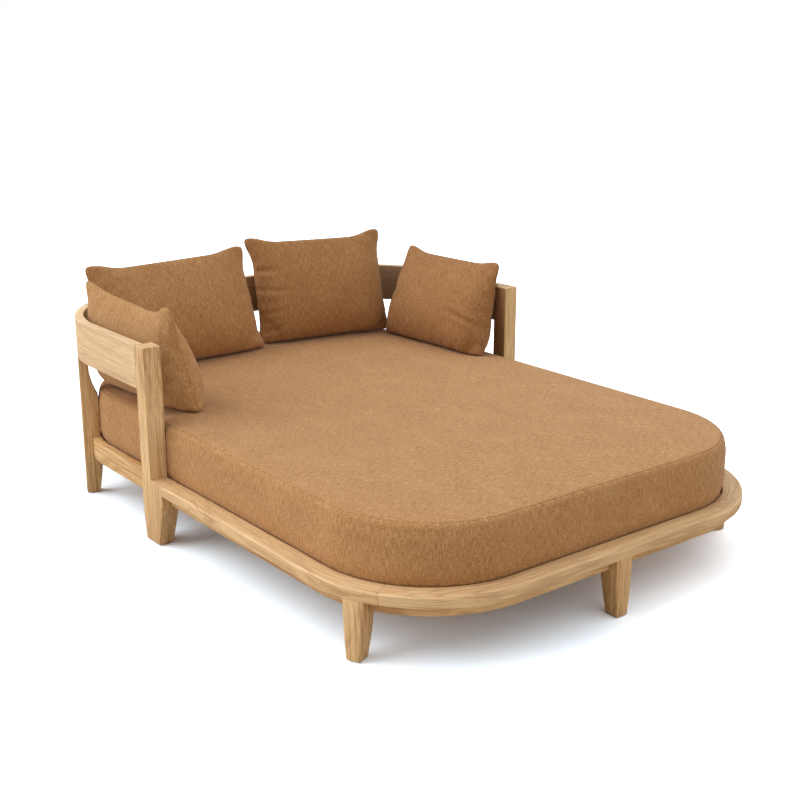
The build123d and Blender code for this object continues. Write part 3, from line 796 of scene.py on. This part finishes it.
def makeMattress():
    rows = mattressProfile()
    rings = []
    for inset, level in rows:
        plan = loopPoints(inset)
        heights = mattressTop(plan[:, 0], plan[:, 1]) if level is None else np.full(len(plan), level)
        rings.append(np.column_stack([plan, heights]))
    count = len(rings[0])
    points = np.concatenate(rings)
    top = np.repeat([level is None for inset, level in rows], count)
    points[:, 2] += mattressLift(points, top)
    # The side is held back where it passes the arm posts.
    beside = np.abs(points[:, 1] - mattress["postMiddle"]) - mattress["postHalf"]
    eased = np.clip(beside / mattress["postEase"], 0, 1)
    limit = mattress["postInner"] + eased * mattress["postSpread"]
    points[:, 0] = np.clip(points[:, 0], -limit, limit)
    faces = []
    for ring in range(len(rings) - 1):
        for number in range(count):
            after = (number + 1) % count
            faces.append((ring * count + number, ring * count + after,
                          (ring + 1) * count + after, (ring + 1) * count + number))
    mesh = bpy.data.meshes.new("mattress_cover")
    mesh.from_pydata(points.tolist(), [], faces)
    mattressMap(mesh, points, rings, count, top)
    tidyNormals(mesh)
    mesh.shade_smooth()
    mesh.materials.append(canvasMaterial("canvas_mattress", mattress["seed"], mattress["dyeAndPaintedLight"]))
    piece = addObject("mattress_cover", mesh)
    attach(piece, "mattress")
    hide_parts("mattress")


def mattressMap(mesh, points, rings, count, top):
    # Side panel: run round the edge by the way up the profile. Top and underside: the plan.
    border = rings[mattress["borderRow"]]
    steps = np.linalg.norm(np.diff(border[:, :2], axis=0, append=border[:1, :2]), axis=1)
    travelled = np.concatenate([[0.0], np.cumsum(steps)])
    stepsUp = [np.linalg.norm(after[0] - before[0]) for before, after in zip(rings, rings[1:])]
    wayUp = np.concatenate([[0.0], np.cumsum(stepsUp)])
    firstTop = int(np.argmax(top)) // count
    flat = []
    for face in mesh.polygons:
        ring, number = divmod(face.index, count)
        side = mattress["sidePanelStart"] <= ring < firstTop - 1
        for vertex in face.vertices:
            level, step = divmod(vertex, count)
            if side:
                step = count if number == count - 1 and step == 0 else step
                flat.append((travelled[step], wayUp[level]))
            else:
                flat.append((points[vertex][1], points[vertex][0]))
    setClothMap(mesh, flat)


makeMattress()
print("mattress made")


# Loose pillows: two sheets sewn round the edge, blown up as cloth, then set in place.
pillowCloth = {
    "cell": 0.0085, "frames": 28,
    "swell": 0.42, "uneven": 0.004, "flatStart": 0.35,
    "calm": 0.72, "calmPasses": 24, "calmShare": 0.6,
}
# Stiff enough to hold broad folds, with spare cloth (a negative shrink) to fill with air.
clothSettings = {
    "quality": 6, "mass": 0.3, "tension_stiffness": 15.0, "compression_stiffness": 15.0,
    "shear_stiffness": 7.5, "bending_stiffness": 3.0, "air_damping": 4.0, "shrink_min": -0.085,
    "vertex_group_mass": "seam", "use_pressure": True, "uniform_pressure_force": 9.0,
}
# Each crease is a valley with a soft rim beside it, shallower toward its ends.
creaseForm = {
    "width": 0.009, "rimPlace": 0.017, "rimWidth": 0.010, "rimShare": 0.45,
    "endShare": 0.92, "endStart": 0.04, "fade": 0.6, "frontDepth": 0.02,
}
weltForm = {"radius": 0.0016, "sides": 6}
# Ears as seen from the pillow's own front, and how far each side is drawn in between them, at
# its start and its end. Creases: from and to, as shares of width and height, depth, front or back.
# Three covers are leaned darker, painted shade for the light they lack; the left arm pillow is leaned
# lighter, painted light for the light on its top.
pillows = {
    "left_back_pillow": {
        "bottomLeft": (-0.600, 0.862, 0.384), "bottomRight": (0.052, 0.880, 0.384),
        "topRight": (0.029, 1.002, 0.794), "topLeft": (-0.654, 0.968, 0.790),
        "draw": {"bottom": (0.0, 0.0), "right": (0.024, 0.020), "top": (0.018, 0.024),
                 "left": (0.004, 0.014)},
        "thickness": 0.178, "dyeAndPaintedLight": ("deep", 0.05), "seed": 3,
        "creases": [(0.50, 0.97, 0.30, 0.86, 0.003, -1)],
    },
    "right_back_pillow": {
        "bottomLeft": (0.060, 0.944, 0.384), "bottomRight": (0.640, 0.842, 0.384),
        "topRight": (0.648, 0.928, 0.812), "topLeft": (0.047, 1.018, 0.817),
        "draw": {"bottom": (0.0, 0.0), "right": (0.014, 0.022), "top": (0.028, 0.022),
                 "left": (0.030, 0.020)},
        "thickness": 0.178, "dyeAndPaintedLight": ("deep", 0.17), "seed": 8,
        "creases": [(0.02, 0.70, 0.20, 0.69, 0.008, -1), (0.02, 0.52, 0.23, 0.50, 0.007, -1),
                    (0.03, 0.30, 0.18, 0.33, 0.006, -1), (0.04, 0.12, 0.17, 0.20, 0.007, -1)],
    },
    "left_arm_pillow": {
        "bottomLeft": (-0.594, 0.254, 0.380), "bottomRight": (-0.631, 0.838, 0.380),
        "topRight": (-0.704, 0.852, 0.767), "topLeft": (-0.664, 0.302, 0.754),
        "draw": {"bottom": (0.0, 0.0), "right": (0.0, 0.0), "top": (0.014, 0.046),
                 "left": (0.010, 0.0)},
        "thickness": 0.182, "dyeAndPaintedLight": ("light", 0.12), "seed": 12,
        "creases": [(0.05, 0.93, 0.09, 0.60, 0.004, 1)],
    },
    "right_arm_pillow": {
        "bottomLeft": (0.600, 0.814, 0.380), "bottomRight": (0.624, 0.243, 0.380),
        "topRight": (0.744, 0.274, 0.746), "topLeft": (0.722, 0.808, 0.753),
        "draw": {"bottom": (0.0, 0.0), "right": (0.0, 0.008), "top": (0.016, 0.022),
                 "left": (0.004, 0.004)},
        "thickness": 0.178, "dyeAndPaintedLight": ("deep", 0.36), "seed": 17,
        "creases": [(0.72, 0.42, 0.96, 0.34, 0.013, -1), (0.30, 0.93, 0.52, 0.86, 0.003, -1)],
    },
}
pillowRest = {
    "gap": 0.0008, "underRound": 0.014,
    "bandInner": 0.0355, "bandBlend": 0.003, "bandNear": -0.02,
    "rim": 0.655, "rimEase": 0.03, "rimLean": 0.06,
    "postInner": 0.7335, "postBack": 0.303, "postTop": 0.010,
    "earRound": 12, "earFlat": 0.045, "earReach": 0.17,
    "sag": 0.40, "fullness": 0.70,
}


def corners(values):
    names = ("bottomLeft", "bottomRight", "topRight", "topLeft")
    return [np.array(values[name]) for name in names]


def pillowSizes(values):
    first, second, third, fourth = corners(values)
    width = (np.linalg.norm(second - first) + np.linalg.norm(third - fourth)) / 2
    height = (np.linalg.norm(fourth - first) + np.linalg.norm(third - second)) / 2
    return width, height


def seamContour(values, across, up):
    # Round the pillow anticlockwise: straight sides drawn in between the ears, ears rounded.
    width, height = pillowSizes(values)
    draw = values["draw"]
    sides = [
        ((-width / 2, 0.0), (width / 2, 0.0), (0.0, 1.0), draw["bottom"], across),
        ((width / 2, 0.0), (width / 2, height), (-1.0, 0.0), draw["right"], up),
        ((width / 2, height), (-width / 2, height), (0.0, -1.0), draw["top"], across),
        ((-width / 2, height), (-width / 2, 0.0), (1.0, 0.0), draw["left"], up),
    ]
    points = []
    for start, end, inward, amount, steps in sides:
        for step in range(steps):
            share = step / steps
            near = (min(share, 1 - share) - pillowRest["earFlat"]) / pillowRest["earReach"]
            near = min(max(near, 0.0), 1.0)
            pull = amount[0] + (amount[1] - amount[0]) * share
            bend = pull * near * near * (3 - 2 * near)
            points.append([start[axis] + (end[axis] - start[axis]) * share + inward[axis] * bend
                           for axis in (0, 1)])
    points = np.array(points)
    for repeat in range(pillowRest["earRound"]):
        points = (np.roll(points, 1, 0) + points * 2 + np.roll(points, -1, 0)) / 4
    # Rounding the ears shortens them, so the whole seam is let out to full size again.
    low, high = points.min(0), points.max(0)
    return (points - low) / (high - low) * (width, height) - (width / 2, 0.0)


def sheetPlan(values):
    # Grid of plan points between the four sides of the seam.
    width, height = pillowSizes(values)
    across = max(int(width / pillowCloth["cell"]), 8)
    up = max(int(height / pillowCloth["cell"]), 8)
    seam = seamContour(values, across, up)
    bottom = seam[:across + 1]
    right = seam[across:across + up + 1]
    top = seam[across + up:2 * across + up + 1][::-1]
    left = np.concatenate([seam[2 * across + up:], seam[:1]])[::-1]
    u = (np.arange(across + 1) / across)[None, :, None]
    v = (np.arange(up + 1) / up)[:, None, None]
    plan = bottom[None] * (1 - v) + top[None] * v + left[:, None] * (1 - u) + right[:, None] * u
    plan -= (bottom[0] * (1 - u) + bottom[-1] * u) * (1 - v) + (top[0] * (1 - u) + top[-1] * u) * v
    return plan, across, up


def sewnSheets(name, values):
    # Front and back sheets that share their border points. Local X across, Z up, -Y front.
    plan, across, up = sheetPlan(values)
    width, height = pillowSizes(values)
    rng = np.random.default_rng(values["seed"])
    points = []
    numbers = {}
    for face in (-1, 1):
        for j in range(up + 1):
            for i in range(across + 1):
                edge = i in (0, across) or j in (0, up)
                if edge and face == 1:
                    numbers[(1, i, j)] = numbers[(-1, i, j)]
                    continue
                u, v = i / across, j / up
                swell = (16 * u * (1 - u) * v * (1 - v)) ** pillowCloth["swell"]
                half = values["thickness"] / 2
                depth = 0.0
                if not edge:
                    depth = face * swell * (half - pillowCloth["uneven"] * rng.random())
                depth *= pillowCloth["flatStart"]
                numbers[(face, i, j)] = len(points)
                points.append((plan[j, i, 0], depth, plan[j, i, 1]))
    faces = []
    flat = []
    for face in (-1, 1):
        for j in range(up):
            for i in range(across):
                square = [(i, j), (i + 1, j), (i + 1, j + 1), (i, j + 1)]
                if face == 1:
                    square.reverse()
                faces.append([numbers[(face, a, b)] for a, b in square])
                flat += [(face * a / across * width, b / up * height) for a, b in square]
    mesh = bpy.data.meshes.new(name)
    mesh.from_pydata(points, [], faces)
    setClothMap(mesh, flat)
    border = [numbers[(-1, i, 0)] for i in range(across)]
    border += [numbers[(-1, across, j)] for j in range(up)]
    border += [numbers[(-1, i, up)] for i in range(across, 0, -1)]
    border += [numbers[(-1, 0, j)] for j in range(up, 0, -1)]
    return mesh, border


def meshPoints(mesh):
    found = np.zeros(len(mesh.vertices) * 3)
    mesh.vertices.foreach_get("co", found)
    return found.reshape(-1, 3)


def blownUp(mesh, border):
    # The seam stays where it is; the spare cloth between the seams fills with air.
    piece = addObject("pillowTrial", mesh)
    piece.vertex_groups.new(name="seam").add(border, 1.0, "REPLACE")
    cloth = piece.modifiers.new("cloth", "CLOTH")
    for key, value in clothSettings.items():
        setattr(cloth.settings, key, value)
    cloth.settings.effector_weights.gravity = 0.0
    cloth.collision_settings.use_collision = False
    cloth.point_cache.frame_start = 1
    cloth.point_cache.frame_end = pillowCloth["frames"]
    for number in range(1, pillowCloth["frames"] + 1):
        scene.frame_set(number)
    graph = bpy.context.evaluated_depsgraph_get()
    found = meshPoints(piece.evaluated_get(graph).data)
    bpy.data.objects.remove(piece)
    scene.frame_set(1)
    return found


def softFloor(value, floor, blend, far=30):
    # The larger of the two, with a rounded change-over. Beyond far it is simply the larger.
    over = (value - floor) / blend
    rounded = np.log1p(np.exp(np.clip(over, -far, far)))
    return floor + blend * rounded + np.maximum(over - far, 0) * blend


def creased(points, values):
    # Short soft valleys across one of the sheets, each from one place to another.
    width, height = pillowSizes(values)
    form = creaseForm
    u = points[:, 0] / width + 0.5
    v = points[:, 2] / height
    depth = np.zeros(len(points))
    for startU, startV, endU, endV, amount, face in values["creases"]:
        side = np.clip(points[:, 1] * face / form["frontDepth"], 0, 1) * -face
        way = np.array([(endU - startU) * width, (endV - startV) * height])
        length = np.linalg.norm(way)
        across = np.array([(u - startU) * width, (v - startV) * height])
        along = np.clip((across[0] * way[0] + across[1] * way[1]) / length, 0, length)
        off = np.hypot(across[0] - way[0] / length * along, across[1] - way[1] / length * along)
        rim = np.exp(-((off - form["rimPlace"]) / form["rimWidth"]) ** 2)
        valley = np.exp(-(off / form["width"]) ** 2) - form["rimShare"] * rim
        travelled = np.clip(along / length * form["endShare"] + form["endStart"], 0, 1)
        fade = np.sin(math.pi * travelled) ** form["fade"]
        depth += amount * valley * fade * side
    points[:, 1] += depth
    return points


def calmed(points, mesh, border):
    # Most of the fine rucks are smoothed away, the broad folds stay.
    links = np.array([edge.vertices[:] for edge in mesh.edges])
    count = np.bincount(links.ravel(), minlength=len(points))[:, None]
    soft = points.copy()
    share = pillowCloth["calmShare"]
    for repeat in range(pillowCloth["calmPasses"]):
        total = np.zeros_like(soft)
        np.add.at(total, links[:, 0], soft[links[:, 1]])
        np.add.at(total, links[:, 1], soft[links[:, 0]])
        soft = soft * (1 - share) + total / count * share
        soft[border] = points[border]
    return points + (soft - points) * pillowCloth["calm"]


def placedPillow(points, values):
    # From the flat plan to the four ears, thickness square to the pillow's middle plane.
    width, height = pillowSizes(values)
    first, second, third, fourth = corners(values)
    u = (points[:, 0] / width + 0.5)[:, None]
    v = (points[:, 2] / height)[:, None]
    spread = points[:, 1].max() - points[:, 1].min()
    share = points[:, 1] / spread * 2
    depth = np.sign(share) * np.abs(share) ** pillowRest["fullness"] * values["thickness"] / 2
    # The filling settles: fuller low down, slimmer at the top.
    depth = depth * (1 + pillowRest["sag"] * (0.5 - v[:, 0]) * 2)
    middle = (first * (1 - u) + second * u) * (1 - v) + (fourth * (1 - u) + third * u) * v
    across = (second - first) * (1 - v) + (third - fourth) * v
    upward = (fourth - first) * (1 - u) + (third - second) * u
    outward = np.cross(upward, across)
    outward /= np.linalg.norm(outward, axis=1)[:, None]
    return middle + outward * depth[:, None]


def pressed(points):
    # Rest on the mattress, lean on the band, clear the posts.
    rest = pillowRest
    x, y, z = points.T.copy()
    z = softFloor(z, mattressTop(x, y) + rest["gap"], rest["underRound"])
    above = np.clip((z - rest["rim"]) / rest["rimEase"], 0, 1)
    shortfall = rest["bandInner"] - above * rest["rimLean"] - insetOf(x, y)
    pushed = softFloor(shortfall, 0.0, rest["bandBlend"]) * (shortfall > rest["bandNear"])
    radius = outline["headRadius"]
    awayX = np.sign(x) * np.maximum(np.abs(x) - (outline["halfWidth"] - radius), 0.0)
    awayY = np.maximum(y - (outline["halfLength"] - radius), 0.0)
    reach = np.maximum(np.hypot(awayX, awayY), 1e-6)
    x = x - awayX / reach * pushed
    y = y - awayY / reach * pushed
    byPost = (y < rest["postBack"]) & (z < rest["rim"] + rest["postTop"])
    x = np.where(byPost, np.clip(x, -rest["postInner"], rest["postInner"]), x)
    return np.column_stack([x, y, z])


def weltTree():
    tree = Tree("seamWelt", [
        ("Geometry", "NodeSocketGeometry", None),
        ("Welt radius", "NodeSocketFloat", weltForm["radius"]),
        ("Finish", "NodeSocketMaterial", None),
    ])
    path = tree.node("GeometryNodeMeshToCurve", {}, {"Mesh": tree.given("Geometry")})
    section = tree.node("GeometryNodeCurvePrimitiveCircle", {"mode": "RADIUS"}, {
        "Resolution": weltForm["sides"], "Radius": tree.given("Welt radius")})
    swept = tree.node("GeometryNodeCurveToMesh", {}, {"Curve": path, "Profile Curve": section})
    tree.close(swept)
    return tree


def makePillows():
    welt = weltTree()
    for name, values in pillows.items():
        mesh, border = sewnSheets(name + "_cover", values)
        points = blownUp(mesh, border)
        spread = points[:, 1].max() - points[:, 1].min()
        print(name, "blown to", round(spread * 1000), "mm")
        points = calmed(points, mesh, border)
        points = pressed(placedPillow(creased(points, values), values))
        mesh.vertices.foreach_set("co", points.ravel())
        finish = canvasMaterial("canvas_" + name, values["seed"], values["dyeAndPaintedLight"])
        mesh.materials.append(finish)
        piece = addObject(name + "_cover", mesh)
        rounding = piece.modifiers.new("rounding", "SUBSURF")
        rounding.levels = 1
        rounding.render_levels = 1
        piece.data = plainMesh(piece, name + "_cover")
        piece.modifiers.clear()
        piece.data.shade_smooth()
        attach(piece, name)
        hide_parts(name)
        edge = meshPoints(piece.data)[border]
        path = pathObject(name + "_path", edge, True)
        seam = welt.apply(path, {"Finish": finish}, name + "_seam")
        tidyNormals(seam.data)
        weltMap(seam.data)
        seam.data.shade_smooth()
        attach(seam, name)
        print("pillow made:", name)


def weltMap(mesh):
    # Cloth coordinates taken from the place itself, so that the threads match the cover's in size.
    points = meshPoints(mesh)[[loop.vertex_index for loop in mesh.loops]]
    setClothMap(mesh, np.column_stack([points[:, 0] + points[:, 1], points[:, 2]]))


makePillows()
